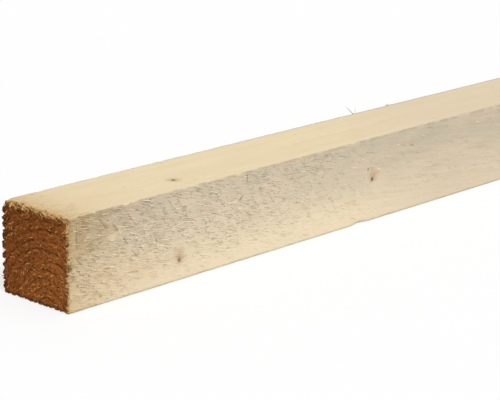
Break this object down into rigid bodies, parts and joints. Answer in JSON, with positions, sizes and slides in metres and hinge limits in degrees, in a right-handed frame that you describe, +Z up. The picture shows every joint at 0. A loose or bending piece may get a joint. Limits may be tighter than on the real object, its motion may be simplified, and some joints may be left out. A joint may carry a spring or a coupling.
{
  "type": "rough-sawn square timber batten",
  "caption": "Straight rough-sawn softwood batten of square section, with blunted long edges and cross-cut ends, for framing, studding and general building work.",
  "frame": {"origin": "middle of the underside, halfway along the batten", "axes": "+X along the batten's length and grain, away from the end that the picture shows; +Z up, out of the top face; -Y out of the long side that the picture shows"},
  "size_m": [2, 0.05, 0.05],
  "materials": {
    "sawn_softwood": "matte"
  },
  "bodies": {
    "root": {"sawn_timber": "sawn_softwood"}
  },
  "joints": []
}
